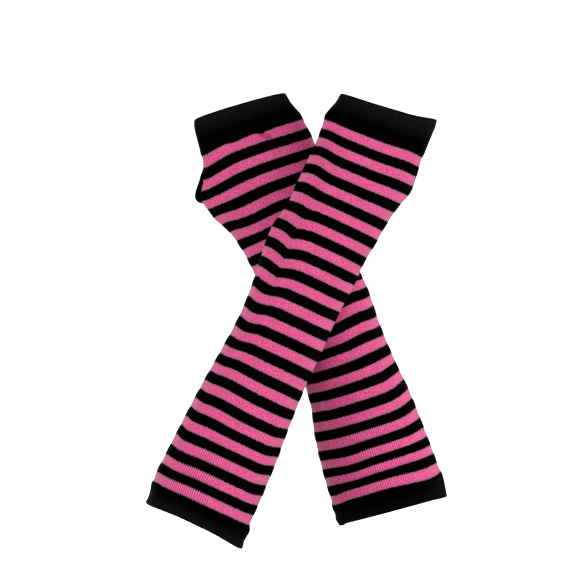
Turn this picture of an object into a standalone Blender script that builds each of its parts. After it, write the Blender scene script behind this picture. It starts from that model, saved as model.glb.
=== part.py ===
"""A pair of knitted arm warmers, worn open on two crossed forearms: thin hollow walls of cloth.

Row frame in metres: +Z runs up towards the fingers, -Y faces the viewer, +X is to the viewer's right.
The origin is where the wearer's forearms cross and hold the pair up, halfway between the two tubes.

Each arm warmer is four pieces: a striped tube, a black cuff round the hand, a black cuff below the
elbow, and a black tape round the thumb hole. A piece of cloth is a wall laid through rounded sections,
whose sizes are worked out from a short table of measured ones.
"""

import math
from collections import namedtuple

import bmesh
import bpy
from mathutils import Vector

# Driving dimensions, in millimetres and degrees.
MM = 0.001
WALL = 1.6  # one layer of plain knit, stretched
CUFF_WALL = 2.8  # the cuff is a turned hem of two layers
CUFF_PROUD = 0.6  # how far the cuff stands out beyond the tube
SEAM_GAP = 0.3  # between pieces that meet at a seam
HAND_CUFF = 22.5  # how far each cuff reaches along the sleeve
ELBOW_CUFF = 15.0
CROSSING_GAP = 0.8  # at the crossing itself; beside it the two tubes come within 0.4 of each other
TAPE_GAP = 0.4  # between the thumb tape and the cloth's edge
TAPE_WIDTH = 2.4  # from the cloth's edge towards the hole's centre
TAPE_THICKNESS = 2.6
THUMB_HALF_LENGTH = 13.5  # of the hole, along the sleeve

AROUND = 32  # points round a section
RING_STEP = 13.0  # spacing of the sections along the plain tube
CUFF_RING_STEP = 9.0
SHARP_ANGLE = math.radians(50)  # a corner steeper than this is shaded as an edge
THUMB_COLUMNS = 3  # columns of points that the thumb hole takes on each side of its centre
THUMB_ROWS = 3

# The tape's cross-section: how far in from the hole's edge, and how far out from the wall's middle.
TAPE_PROFILE = [
    (TAPE_GAP + TAPE_WIDTH * across, TAPE_THICKNESS * out)
    for across, out in (
        (0, -0.3), (0, 0.3), (0.25, 0.5), (0.75, 0.5), (1, 0.3), (1, -0.3), (0.75, -0.5), (0.25, -0.5)
    )
]

# One row for each measured section. station runs from the hand edge; side shifts the section to the
# viewer's right and away shifts it from the viewer; fullness is 2 for an ellipse and more where the
# section is boxier, as over a flat hand; lean tips its right side, and dip its near side, down
# towards the elbow, by degrees.
Section = namedtuple("Section", "station side away width depth fullness lean dip")
FRONT_SECTIONS = (
    Section(0, 1.1, 0, 74.0, 35, 2.5, -8.0, 7.0),
    Section(8, 0.8, 0, 75.0, 38, 2.5, -6.5, 7.0),
    Section(23, -0.6, 2, 79.4, 44, 2.4, -3.5, 7.0),
    Section(38, 1.1, 4, 80.3, 52, 2.3, -2.5, 7.0),
    Section(53, 1.2, 4, 80.3, 55, 2.2, -1.8, 6.0),
    Section(68, -0.3, 3, 77.3, 53, 2.1, -1.0, 5.0),
    Section(84, -1.8, 1, 74.9, 50, 2.1, 0.0, 3.0),
    Section(99, -2.3, 0, 73.5, 50, 2.1, 0.0, 1.0),
    Section(116, -4.9, 0, 74.8, 52, 2.1, 0.0, 0.0),
    Section(131, -4.8, 0, 74.8, 54, 2.0, 0.0, 0.0),
    Section(160, -3.9, 0, 69.8, 56, 2.0, 0.0, 0.0),
    Section(190, -3.0, 0, 68.4, 60, 2.0, 0.0, 0.0),
    Section(220, -4.1, 0, 69.9, 64, 2.0, 0.0, 0.0),
    Section(251, -4.7, 0, 73.7, 68, 2.0, 0.0, 0.0),
    Section(281, -4.5, 0, 77.6, 72, 2.0, 0.5, 0.0),
    Section(312, -4.6, 0, 80.0, 74, 2.0, 0.5, 0.0),
    Section(328, -4.9, 0, 80.6, 75, 2.0, 0.5, 0.0),
    Section(349.5, -2.4, 0, 78.2, 75, 2.0, 1.0, 0.0),
)
BACK_SECTIONS = (
    Section(0, 0.8, 0, 72.5, 34, 2.5, 4.5, -5.0),
    Section(10, 0.6, 0, 75.0, 36, 2.5, 3.5, -5.0),
    Section(26, 2.1, 0, 82.5, 38, 2.5, 1.5, -6.0),
    Section(42, 0.5, 0, 89.5, 40, 2.4, 1.0, -6.0),
    Section(57, -2.0, 1, 94.5, 43, 2.3, 0.5, -6.0),
    Section(73, -2.4, 2, 91.5, 45, 2.2, 0.0, -5.0),
    Section(88, -0.2, 2, 81.0, 47, 2.1, 0.0, -4.0),
    Section(104, 1.4, 1, 76.0, 49, 2.1, 0.0, -2.0),
    Section(119, 2.4, 0, 74.2, 52, 2.1, 0.0, 0.0),
    Section(150, 5.0, 0, 74.2, 56, 2.0, 0.5, 0.0),
    Section(166, 6.3, 0, 74.2, 58, 2.0, 1.0, 0.0),
    Section(196, 6.8, 0, 70.9, 61, 2.0, 1.5, 1.0),
    Section(227, 7.1, 0, 72.4, 65, 2.0, 2.5, 2.0),
    Section(243, 6.8, 0, 75.9, 67, 2.0, 3.5, 2.0),
    Section(258, 5.2, 0, 80.4, 69, 2.0, 4.0, 1.5),
    Section(289, 2.9, 0, 85.2, 72, 2.0, 4.0, -1.0),
    Section(320, 1.4, 0, 86.8, 73, 2.0, 4.0, -4.0),
    Section(334.5, 0.2, 0, 84.0, 72, 2.0, 6.0, -6.0),
)

# Soft folds: each is a smooth ridge (height above 0) or trough (below 0) in the cloth. turn goes round
# the section, from 0 at the viewer's right through 90 facing the viewer. The wide trough is where the
# two arms press on each other, and the last ridge is the lip that the thumb pushes out.
Fold = namedtuple("Fold", "station turn half_length half_turn height")
FRONT_FOLDS = (
    Fold(130, 135, 95, 22, -1.8),
    Fold(120, 158, 40, 18, 1.4),
    Fold(205, 300, 80, 22, -1.6),
    Fold(148, 270, 60, 50, -2.0),
    Fold(55, 345, 14, 30, 2.0),
)
BACK_FOLDS = (
    Fold(52, 100, 34, 20, -1.5),
    Fold(250, 150, 70, 22, -1.4),
    Fold(190, 320, 80, 22, -1.6),
    Fold(149, 90, 60, 50, -2.0),
    Fold(59, 182, 13, 34, 5.0),
)

# hand_x and hand_z place the centre of the hand edge. tilt leans the axis from the vertical (positive:
# the elbow end goes to the viewer's left) and swing brings the elbow end nearer to the viewer. facing
# is the turn of the side that meets the other tube. The thumb values place the middle of its hole.
ArmWarmer = namedtuple(
    "ArmWarmer",
    "name hand_x hand_z tilt swing facing thumb_station thumb_turn thumb_half_turn sections folds",
)
PAIR = (
    ArmWarmer("front", 62.0, 135.0, 24.45, 3.0, 270, 42.5, -22.0, 20.0, FRONT_SECTIONS, FRONT_FOLDS),
    ArmWarmer("back", -52.6, 137.0, -21.0, -1.5, 90, 47.0, 194.0, 23.0, BACK_SECTIONS, BACK_FOLDS),
)

MATERIALS = {
    "striped_knit": ((0.86, 0.10, 0.33, 1.0), 0.9),
    "black_knit": ((0.012, 0.012, 0.013, 1.0), 0.85),
}


def section_at(sections, station):
    """The section at a station, read from a smooth curve through the table's rows."""
    last = len(sections) - 1
    k = 0
    while k < last - 1 and station > sections[k + 1].station:
        k += 1
    before, a, b, after = (sections[i] for i in (max(k - 1, 0), k, k + 1, min(k + 2, last)))
    span = b.station - a.station
    t = (station - a.station) / span

    def column(name):
        p0, p1, p2, p3 = (getattr(row, name) for row in (before, a, b, after))
        slope_a = (p2 - p0) / (b.station - before.station) * span
        slope_b = (p3 - p1) / (after.station - a.station) * span
        return (
            p1 * (1 - t) ** 2 * (1 + 2 * t)
            + p2 * t**2 * (3 - 2 * t)
            + slope_a * t * (1 - t) ** 2
            - slope_b * t**2 * (1 - t)
        )

    return Section(station, *(column(name) for name in Section._fields[1:]))


def fold_height(folds, station, turn):
    """How far the soft folds move the cloth outwards, in millimetres."""
    height = 0.0
    for fold in folds:
        along = (station - fold.station) / fold.half_length
        around = ((turn - fold.turn + 180) % 360 - 180) / fold.half_turn
        distance = math.hypot(along, around)
        if distance < 1:
            height += fold.height * (0.5 + 0.5 * math.cos(math.pi * distance))
    return height


def rounded(value, fullness):
    """A sine or cosine pushed outwards, as a boxier section has it."""
    return math.copysign(abs(value) ** (2 / fullness), value)


def directions(warmer):
    """Unit vectors: along the axis to the elbow, across to the right, and towards the viewer."""
    tilt, swing = math.radians(warmer.tilt), math.radians(warmer.swing)
    across = Vector((math.cos(tilt), 0, -math.sin(tilt)))
    upright = Vector((-math.sin(tilt), 0, -math.cos(tilt)))
    axis = upright * math.cos(swing) + Vector((0, -math.sin(swing), 0))
    return axis, across, axis.cross(across)


def hand_centre(warmer):
    """The axis's start at the hand edge, placed so that the two tubes just clear each other."""
    axis = directions(warmer)[0]
    station = warmer.hand_z / -axis.z
    reach = section_at(warmer.sections, station).depth / 2
    reach += fold_height(warmer.folds, station, warmer.facing) + CROSSING_GAP / 2
    crossing_y = reach * math.sin(math.radians(warmer.facing))
    return Vector((warmer.hand_x, crossing_y - axis.y * station, warmer.hand_z))


def cloth_point(warmer, station, turn, out=0.0):
    """A point of the cloth's outer face, moved out along its normal by out millimetres."""
    row = section_at(warmer.sections, station)
    axis, across, toward = directions(warmer)
    angle = math.radians(turn)
    half_width, half_depth = row.width / 2, row.depth / 2
    dual = row.fullness / (row.fullness - 1)
    steepness = rounded(math.cos(angle), dual) / half_width, rounded(math.sin(angle), dual) / half_depth
    normal = Vector(steepness).normalized()
    out += fold_height(warmer.folds, station, turn)
    right = half_width * rounded(math.cos(angle), row.fullness) + out * normal.x
    near = half_depth * rounded(math.sin(angle), row.fullness) + out * normal.y
    down = station + right * math.tan(math.radians(row.lean)) + near * math.tan(math.radians(row.dip))
    point = hand_centre(warmer) + axis * down + across * (right + row.side) + toward * (near - row.away)
    return point * MM


def length_of(warmer):
    """From the hand edge to the elbow edge, along the axis."""
    return warmer.sections[-1].station


def evenly(start, end, step):
    """Stations from start to end in equal steps of about step."""
    count = max(1, round((end - start) / step))
    return [start + (end - start) * k / count for k in range(count + 1)]


def turn_of(warmer, column):
    """The turn of a column of points; column 0 runs through the middle of the thumb hole."""
    return warmer.thumb_turn + column * 360 / AROUND


def thumb_outline(warmer):
    """(row, column): (station, turn) of the points round the thumb hole's edge."""
    outline = {}
    rows, columns = THUMB_ROWS, THUMB_COLUMNS
    right_side = [(i, columns) for i in range(rows)]
    bottom = [(rows, j) for j in range(columns, -columns, -1)]
    left_side = [(i, -columns) for i in range(rows, 0, -1)]
    top = [(0, j) for j in range(-columns, columns)]
    for i, j in right_side + bottom + left_side + top:
        way = math.atan2(2 * i / rows - 1, j / columns)
        station = warmer.thumb_station + THUMB_HALF_LENGTH * math.sin(way)
        outline[i, j] = (station, warmer.thumb_turn + warmer.thumb_half_turn * math.cos(way))
    return outline


def new_object(name, bm, slot):
    """Puts a finished bmesh in the scene as one named object with its material."""
    mesh = bpy.data.meshes.new(name)
    bm.to_mesh(mesh)
    bm.free()
    obj = bpy.data.objects.new(name, mesh)
    bpy.context.scene.collection.objects.link(obj)
    mesh.materials.append(bpy.data.materials[slot])
    mesh.shade_smooth()
    mesh.set_sharp_from_angle(angle=SHARP_ANGLE)
    return obj


def cloth_wall(warmer, stations, thickness, proud=0.0, hole_row=None):
    """A tube of cloth through the stations, closed into a wall, as a bmesh.

    Its outer face stands proud millimetres out. hole_row is the row of points where a thumb hole begins.
    """
    hole_spots = {}
    if hole_row is not None:
        hole_spots = {(hole_row + i, j): spot for (i, j), spot in thumb_outline(warmer).items()}
    half = AROUND // 2
    bm = bmesh.new()
    outer, inner_of = {}, {}
    for i, station in enumerate(stations):
        for j in range(-half, half):
            if hole_spots and hole_row < i < hole_row + THUMB_ROWS and abs(j) < THUMB_COLUMNS:
                continue
            spot = hole_spots.get((i, j), (station, turn_of(warmer, j)))
            outer[i, j] = bm.verts.new(cloth_point(warmer, *spot, out=proud))
            inner_of[outer[i, j]] = bm.verts.new(cloth_point(warmer, *spot, out=proud - thickness))
    for i in range(len(stations) - 1):
        for j in range(-half, half):
            beside = j + 1 if j + 1 < half else -half
            corners = [(i, j), (i, beside), (i + 1, beside), (i + 1, j)]
            in_hole = all(corner in hole_spots or corner not in outer for corner in corners)
            if not in_hole:
                bm.faces.new([outer[corner] for corner in corners])
    rims = [edge.verts for edge in bm.edges if edge.is_boundary]
    for face in list(bm.faces):
        bm.faces.new([inner_of[vert] for vert in face.verts])
    for first, second in rims:
        bm.faces.new([first, second, inner_of[second], inner_of[first]])
    bmesh.ops.recalc_face_normals(bm, faces=bm.faces)
    return bm


def striped_tube(warmer):
    """The tube between the two cuffs, with the thumb hole left out of its side."""
    start, end = HAND_CUFF + SEAM_GAP, length_of(warmer) - ELBOW_CUFF - SEAM_GAP
    hole_start = warmer.thumb_station - THUMB_HALF_LENGTH
    hole_end = warmer.thumb_station + THUMB_HALF_LENGTH
    hole_stations = evenly(hole_start, hole_end, 2 * THUMB_HALF_LENGTH / THUMB_ROWS)
    stations = [start] + hole_stations + evenly(hole_end + RING_STEP / 2, end, RING_STEP)
    new_object(f"{warmer.name}_tube", cloth_wall(warmer, stations, WALL, hole_row=1), "striped_knit")


def cuff(warmer, name, start, end):
    """A turned black hem at one end of the tube."""
    wall = cloth_wall(warmer, evenly(start, end, CUFF_RING_STEP), CUFF_WALL, proud=CUFF_PROUD)
    new_object(f"{warmer.name}_{name}", wall, "black_knit")


def thumb_tape(warmer):
    """The tape round the thumb hole: it lies in the plane of the cloth, just inside the hole's edge."""
    rim = thumb_outline(warmer).values()
    middle = [cloth_point(warmer, *spot, out=-WALL / 2) for spot in rim]
    outer = [cloth_point(warmer, *spot) for spot in rim]
    heart = sum(middle, Vector()) / len(middle)
    bm = bmesh.new()
    rings = []
    for k, point in enumerate(middle):
        along = middle[(k + 1) % len(middle)] - middle[k - 1]
        normal = (outer[k] - point).normalized()
        inward = along.cross(normal).normalized()
        if inward.dot(heart - point) < 0:
            inward.negate()
        rings.append([bm.verts.new(point + (inward * u + normal * v) * MM) for u, v in TAPE_PROFILE])
    corners = len(TAPE_PROFILE)
    for k, ring in enumerate(rings):
        following = rings[(k + 1) % len(rings)]
        for m in range(corners):
            beyond = (m + 1) % corners
            bm.faces.new([ring[m], ring[beyond], following[beyond], following[m]])
    bmesh.ops.recalc_face_normals(bm, faces=bm.faces)
    new_object(f"{warmer.name}_thumb_tape", bm, "black_knit")


def make_materials():
    """The two yarns' plain colours."""
    for name, (colour, roughness) in MATERIALS.items():
        material = bpy.data.materials.new(name)
        material.use_nodes = True
        shader = material.node_tree.nodes["Principled BSDF"]
        shader.inputs["Base Color"].default_value = colour
        shader.inputs["Roughness"].default_value = roughness
        shader.inputs["Metallic"].default_value = 0.0


def main():
    """Clears the scene and builds the pair."""
    for obj in list(bpy.data.objects):
        bpy.data.objects.remove(obj, do_unlink=True)
    make_materials()
    for warmer in PAIR:
        elbow_edge = length_of(warmer)
        striped_tube(warmer)
        cuff(warmer, "hand_cuff", 0.0, HAND_CUFF)
        cuff(warmer, "elbow_cuff", elbow_edge - ELBOW_CUFF, elbow_edge)
        thumb_tape(warmer)


main()
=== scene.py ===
# %% [markdown]
# # A pair of striped, knitted arm warmers
#
# An arm warmer is a long knitted tube that covers the forearm and the palm and leaves the fingers free.
# Each one here has a striped tube, a wide black hem round the hand, a narrow black hem below the elbow,
# and a black binding round the thumb hole. The pair keeps the shape of two crossed forearms.
#
# The plan: knit every piece as a straight tube, pull it onto the arm's form, and give it a yarn whose
# pattern follows the stitches.

# %% Load the frame
import math
from collections import namedtuple

import bmesh
import bpy
import numpy as np
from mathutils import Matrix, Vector


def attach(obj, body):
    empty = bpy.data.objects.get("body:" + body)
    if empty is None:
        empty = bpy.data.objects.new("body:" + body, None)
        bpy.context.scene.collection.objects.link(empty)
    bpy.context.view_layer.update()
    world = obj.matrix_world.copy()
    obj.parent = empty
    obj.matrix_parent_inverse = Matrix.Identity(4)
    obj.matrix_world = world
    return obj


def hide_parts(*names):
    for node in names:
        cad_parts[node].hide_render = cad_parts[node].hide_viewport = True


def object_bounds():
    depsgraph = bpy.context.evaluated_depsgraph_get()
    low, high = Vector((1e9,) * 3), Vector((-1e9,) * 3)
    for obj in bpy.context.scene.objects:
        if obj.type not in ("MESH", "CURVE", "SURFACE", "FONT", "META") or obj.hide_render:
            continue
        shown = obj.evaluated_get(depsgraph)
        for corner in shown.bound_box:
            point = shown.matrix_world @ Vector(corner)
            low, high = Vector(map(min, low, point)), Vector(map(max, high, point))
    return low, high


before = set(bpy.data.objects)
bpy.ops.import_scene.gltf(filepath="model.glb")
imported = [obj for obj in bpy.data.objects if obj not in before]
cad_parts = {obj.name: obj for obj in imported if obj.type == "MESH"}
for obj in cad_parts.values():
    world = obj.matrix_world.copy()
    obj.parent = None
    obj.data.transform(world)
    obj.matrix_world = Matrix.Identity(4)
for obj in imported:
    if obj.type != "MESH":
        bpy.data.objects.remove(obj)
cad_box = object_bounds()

MM = 0.001
print("CAD pieces:", ", ".join(sorted(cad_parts)))

# %% [markdown]
# ## The camera
#
# The pair is seen straight from the front, from far enough away that the far sleeve looks hardly smaller
# than the near one. A long lens at three metres does that. The view is a square of 438 mm at the pair.

# %% Make the camera
CAMERA_AWAY = 3000.0  # from the middle of the near sleeve
SLEEVE_PLANE = -26.0
VIEW_MIDDLE = (-14.0, -2.6)
VIEW_WIDTH = 438.0

bpy.ops.object.camera_add(
    location=(VIEW_MIDDLE[0] * MM, (SLEEVE_PLANE - CAMERA_AWAY) * MM, VIEW_MIDDLE[1] * MM),
    rotation=(math.radians(90), 0, 0),
)
camera = bpy.context.object
camera.data.lens = camera.data.sensor_width * CAMERA_AWAY / VIEW_WIDTH
bpy.context.scene.camera = camera
bpy.context.scene.view_settings.view_transform = "Standard"
# A stitch is hardly two pixels wide, and the denoiser keeps it only where its guides aren't smoothed first.
bpy.context.scene.cycles.denoising_prefilter = "NONE"
print(f"lens {camera.data.lens:.0f} mm")

# %% [markdown]
# ## The sweep behind the pair
#
# A product on white stands in front of a sweep: one sheet that runs from the floor up the wall in a wide
# curve, so that no line shows behind it. It is a plane whose far edge is extruded upwards and whose fold
# is then bevelled. Both are done in edit mode, on edges that are picked by their place.

# %% Helpers for working on one mesh
def deselect_all():
    for obj in bpy.context.selected_objects:
        obj.select_set(False)


def select_only(piece):
    deselect_all()
    piece.select_set(True)
    bpy.context.view_layer.objects.active = piece


def edit(piece, select_mode):
    """Opens one piece in edit mode with nothing selected in it."""
    select_only(piece)
    bpy.ops.object.mode_set(mode="EDIT")
    bpy.ops.mesh.select_mode(type=select_mode)
    bpy.ops.mesh.select_all(action="DESELECT")


def pick(piece, kind, wanted):
    """Selects the edges or faces of the piece in edit mode whose middle is wanted."""
    mesh = bmesh.from_edit_mesh(piece.data)
    for element in getattr(mesh, kind):
        middle = sum((corner.co for corner in element.verts), Vector()) / len(element.verts)
        if wanted(middle):
            element.select = True
    mesh.select_flush_mode()
    bmesh.update_edit_mesh(piece.data)


def place_kept_in_mesh(piece):
    select_only(piece)
    bpy.ops.object.transform_apply(location=True, rotation=True, scale=True)


deselect_all()
print("objects selected:", len(bpy.context.selected_objects))

# %% Make the sweep
FLOOR_DROP = 60.0  # below the lower sleeve's end
SWEEP_SIZE = 9000.0
SWEEP_HEIGHT = 4200.0
SWEEP_FOLD = 1500.0
FOLD_SEGMENTS = 24
floor_z = cad_box[0].z - FLOOR_DROP * MM


def at_back(middle):
    return middle.y > 0.49 * SWEEP_SIZE * MM


bpy.ops.mesh.primitive_plane_add(size=SWEEP_SIZE * MM, location=(0, 0, floor_z))
sweep = bpy.context.object
sweep.name = "acrylic_sweep"
place_kept_in_mesh(sweep)
edit(sweep, "EDGE")
pick(sweep, "edges", at_back)
bpy.ops.mesh.extrude_region_move(TRANSFORM_OT_translate={"value": (0, 0, SWEEP_HEIGHT * MM)})
bpy.ops.mesh.select_all(action="DESELECT")
pick(sweep, "edges", lambda middle: at_back(middle) and middle.z < floor_z + MM)
bpy.ops.mesh.bevel(offset=SWEEP_FOLD * MM, segments=FOLD_SEGMENTS)
bpy.ops.object.mode_set(mode="OBJECT")
sweep.data.shade_smooth()
print(f"sweep at z = {floor_z / MM:.0f} mm, {len(sweep.data.polygons)} faces")

# %% [markdown]
# ## The light
#
# The sweep is cast white acrylic, lit from behind, which gives an even white without a shadow. Its glow
# would fill the valley between the two sleeves, so only the camera sees it. A pale room lights the pair
# from all round. Soft lamps at about its own height add to that: the strongest stands at the right, and
# two stand behind, where they catch the hairs along the outline.

# %% Light the sweep from behind
WHITE = (1.0, 1.0, 1.0, 1.0)
SWEEP_GLOW = 1.05
acrylic = bpy.data.materials.new("white acrylic, lit from behind")
acrylic.use_nodes = True
glow = acrylic.node_tree.nodes["Principled BSDF"].inputs
glow["Base Color"].default_value = WHITE
glow["Emission Color"].default_value = WHITE
glow["Emission Strength"].default_value = SWEEP_GLOW
sweep.data.materials.append(acrylic)
sweep.visible_diffuse = sweep.visible_glossy = sweep.visible_shadow = False
print(f"{acrylic.name}: strength {SWEEP_GLOW}")

# %% Light the room
ROOM_LIGHT = 0.435  # on the pair; to the camera the room is as white as the sweep


def add(owner, kind, inputs=None, **settings):
    """Adds one node. inputs gives a number, a colour or another node's output for each socket."""
    tree = owner.node_tree
    node = tree.nodes.new("ShaderNode" + kind)
    for name, value in settings.items():
        setattr(node, name, value)
    for socket, value in (inputs or {}).items():
        if isinstance(value, bpy.types.Node):
            value = value.outputs[0]
        if isinstance(value, bpy.types.NodeSocket):
            tree.links.new(value, node.inputs[socket])
        else:
            node.inputs[socket].default_value = value
    return node


room = bpy.data.worlds.new("pale_room")
room.use_nodes = True
seen = add(room, "LightPath").outputs["Is Camera Ray"]
strength = add(room, "MapRange", {"Value": seen, "To Min": ROOM_LIGHT, "To Max": 1.0})
background = room.node_tree.nodes["Background"]
background.inputs["Color"].default_value = WHITE
room.node_tree.links.new(strength.outputs["Result"], background.inputs["Strength"])
bpy.context.scene.world = room
print(f"{room.name}: strength {ROOM_LIGHT}")

# %% Light the pair
LAMP_SIZE = 1.1  # metres
CROSSING = Vector((0.0, 0.0, 0.0))  # every lamp faces it
# Each lamp's name, its place in metres and its watts.
LAMPS = (
    ("key_right", (2.05, -0.75, 0.2), 21),
    ("front_right", (1.4, -1.7, 0.2), 7.5),
    ("fill_left", (-0.45, -2.15, 0.1), 11),
    ("side_left", (-1.9, -1.1, 0.0), 15),
    ("rim_right", (1.7, 1.4, 0.3), 13),
    ("rear_left", (-0.8, 2.05, 0.3), 12),
)
for name, place, watts in LAMPS:
    facing = (CROSSING - Vector(place)).to_track_quat("-Z", "Y").to_euler()
    bpy.ops.object.light_add(type="AREA", location=place, rotation=facing)
    light = bpy.context.object
    light.name = name
    light.data.shape = "DISK"
    light.data.size = LAMP_SIZE
    light.data.energy = watts
    light.visible_camera = False
print(f"{len(LAMPS)} lamps, {sum(watts for _, _, watts in LAMPS)} W together")

# %% [markdown]
# ## The arm inside the sleeve
#
# A worn sleeve takes its shape from what fills it: flat over the palm, narrow at the wrist, round below
# the elbow. A table of measured sections gives that shape, one row for each, and a smooth curve runs
# through the rows. station runs down the sleeve from the hand edge, and turn goes round it: 0 at the
# viewer's right, 90 facing the viewer, 180 at the left and 270 at the back.

# %% The measured sections
# Columns: station, side, away, width, depth, fullness, lean and dip. side and away shift a section to the
# viewer's right and from the viewer; fullness is 2 for an ellipse and more for a boxier one; lean tips its
# right side, and dip its near side, down to the elbow.
FRONT_SECTIONS = (
    (0, 1.1, 0, 74.0, 35, 2.5, -8.0, 7.0),
    (8, 0.8, 0, 75.0, 38, 2.5, -6.5, 7.0),
    (23, -0.6, 2, 79.4, 44, 2.4, -3.5, 7.0),
    (38, 1.1, 4, 80.3, 52, 2.3, -2.5, 7.0),
    (53, 1.2, 4, 80.3, 55, 2.2, -1.8, 6.0),
    (68, -0.3, 3, 77.3, 53, 2.1, -1.0, 5.0),
    (84, -1.8, 1, 74.9, 50, 2.1, 0.0, 3.0),
    (99, -2.3, 0, 73.5, 50, 2.1, 0.0, 1.0),
    (116, -4.9, 0, 74.8, 52, 2.1, 0.0, 0.0),
    (131, -4.8, 0, 74.8, 54, 2.0, 0.0, 0.0),
    (160, -3.9, 0, 69.8, 56, 2.0, 0.0, 0.0),
    (190, -3.0, 0, 68.4, 60, 2.0, 0.0, 0.0),
    (220, -4.1, 0, 69.9, 64, 2.0, 0.0, 0.0),
    (251, -4.7, 0, 73.7, 68, 2.0, 0.0, 0.0),
    (281, -4.5, 0, 77.6, 72, 2.0, 0.5, 0.0),
    (312, -4.6, 0, 80.0, 74, 2.0, 0.5, 0.0),
    (328, -4.9, 0, 80.6, 75, 2.0, 0.5, 0.0),
    (349.5, -2.4, 0, 78.2, 75, 2.0, 1.0, 0.0),
)
BACK_SECTIONS = (
    (0, 0.8, 0, 72.5, 34, 2.5, 4.5, -5.0),
    (10, 0.6, 0, 75.0, 36, 2.5, 3.5, -5.0),
    (26, 2.1, 0, 82.5, 38, 2.5, 1.5, -6.0),
    (42, 0.5, 0, 89.5, 40, 2.4, 1.0, -6.0),
    (57, -2.0, 1, 94.5, 43, 2.3, 0.5, -6.0),
    (73, -2.4, 2, 91.5, 45, 2.2, 0.0, -5.0),
    (88, -0.2, 2, 81.0, 47, 2.1, 0.0, -4.0),
    (104, 1.4, 1, 76.0, 49, 2.1, 0.0, -2.0),
    (119, 2.4, 0, 74.2, 52, 2.1, 0.0, 0.0),
    (150, 5.0, 0, 74.2, 56, 2.0, 0.5, 0.0),
    (166, 6.3, 0, 74.2, 58, 2.0, 1.0, 0.0),
    (196, 6.8, 0, 70.9, 61, 2.0, 1.5, 1.0),
    (227, 7.1, 0, 72.4, 65, 2.0, 2.5, 2.0),
    (243, 6.8, 0, 75.9, 67, 2.0, 3.5, 2.0),
    (258, 5.2, 0, 80.4, 69, 2.0, 4.0, 1.5),
    (289, 2.9, 0, 85.2, 72, 2.0, 4.0, -1.0),
    (320, 1.4, 0, 86.8, 73, 2.0, 4.0, -4.0),
    (334.5, 0.2, 0, 84.0, 72, 2.0, 6.0, -6.0),
)
print(f"front sleeve {FRONT_SECTIONS[-1][0]} mm long, back sleeve {BACK_SECTIONS[-1][0]} mm")

# %% The largest folds
# Columns: station, turn, half_length, half_turn and height. A fold is a smooth ridge (height above 0) or
# trough (below 0) of the whole cloth.
FRONT_FOLDS = (
    (130, 135, 95, 22, -1.8),
    (120, 158, 40, 18, 1.4),
    (205, 300, 80, 22, -1.6),
    (148, 270, 60, 50, -2.0),
    (55, 345, 14, 30, 2.0),
)
BACK_FOLDS = (
    (52, 100, 34, 20, -1.5),
    (250, 150, 70, 22, -1.4),
    (190, 320, 80, 22, -1.6),
    (149, 90, 60, 50, -2.0),
    (55, 182, 15, 34, 3.4),
)
print(f"{len(FRONT_FOLDS)} folds on the front sleeve, {len(BACK_FOLDS)} on the back one")

# %% [markdown]
# ## The small creases
#
# Knit that is stretched over an arm has few sharp folds. It has shallow troughs with soft shoulders,
# longest where it is loose along the wrist, and short ones at the thumb and at the hems. They are placed
# one by one, no two alike, on all sides.

# %% The creases
# Columns: station, turn, length, width, slant and height. length and width are in millimetres over the
# cloth; slant is 0 for a crease that runs down the sleeve and 90 for one that runs round it; height is
# below 0 for a trough.
FRONT_CREASES = (
    (146, 133, 110, 7, -3, -0.9),
    (118, 122, 46, 6, 12, -0.4),
    (196, 126, 60, 8, 4, -0.5),
    (66, 62, 34, 7, -34, -0.7),
    (84, 48, 30, 8, -50, -0.6),
    (52, 20, 22, 6, -62, -0.7),
    (60, 318, 26, 6, 40, -0.8),
    (76, 300, 38, 8, 22, -0.7),
    (104, 252, 52, 8, -8, -0.9),
    (171, 232, 74, 7, 6, -0.8),
    (238, 280, 66, 9, -5, -0.7),
    (214, 205, 58, 8, 9, -0.6),
    (262, 58, 54, 9, 6, -0.4),
    (287, 340, 48, 8, -12, -0.5),
    (306, 168, 40, 8, 14, -0.5),
    (318, 248, 34, 7, -18, -0.6),
)
BACK_CREASES = (
    (30.4, 80.2, 19, 3.0, -49, -4.0),
    (31.5, 84.8, 13, 3.8, -48, 1.6),
    (28.3, 77.2, 14, 3.4, -48, 1.0),
    (50, 96, 24, 6, 55, 0.6),
    (66, 160, 26, 6, 52, -0.8),
    (78, 178, 30, 6, 34, -0.8),
    (64, 220, 30, 7, -44, -0.9),
    (86, 246, 40, 8, -16, -0.7),
    (124, 300, 60, 8, 7, -0.8),
    (171, 262, 70, 8, -6, -0.7),
    (222, 296, 52, 9, 11, -0.6),
    (214, 60, 44, 8, -10, -0.5),
    (244, 146, 60, 8, 5, -0.7),
    (268, 200, 46, 7, -9, -0.6),
    (292, 122, 40, 9, 12, -0.4),
    (300, 330, 44, 8, -7, -0.6),
    (312, 262, 36, 7, 15, -0.6),
)
DEGREE = 0.65  # millimetres of cloth in one degree of turn, on average
print(f"{len(FRONT_CREASES)} creases on the front sleeve, {len(BACK_CREASES)} on the back one")

# %% [markdown]
# ## Where the two sleeves lie
#
# The front sleeve runs from its elbow end at the lower left to its hand end at the upper right. The back
# one runs the other way and lies just behind it. The origin is the point between them where they cross.

# %% The pair
CROSSING_GAP = 0.8
ArmWarmer = namedtuple(
    "ArmWarmer",
    "name hand_x hand_z tilt swing facing thumb_station thumb_turn thumb_half_turn sections folds creases",
)
FRONT = ArmWarmer(
    "front", 62.0, 135.0, 24.45, 3.0, 270, 42.5, -22.0, 20.0, FRONT_SECTIONS, FRONT_FOLDS, FRONT_CREASES
)
BACK = ArmWarmer(
    "back", -52.6, 137.0, -21.0, -1.5, 90, 47.0, 194.0, 23.0, BACK_SECTIONS, BACK_FOLDS, BACK_CREASES
)
PAIR = (FRONT, BACK)
for warmer in PAIR:
    print(f"{warmer.name}: tilted by {warmer.tilt} degrees, thumb hole at {warmer.thumb_station} mm")

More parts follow.
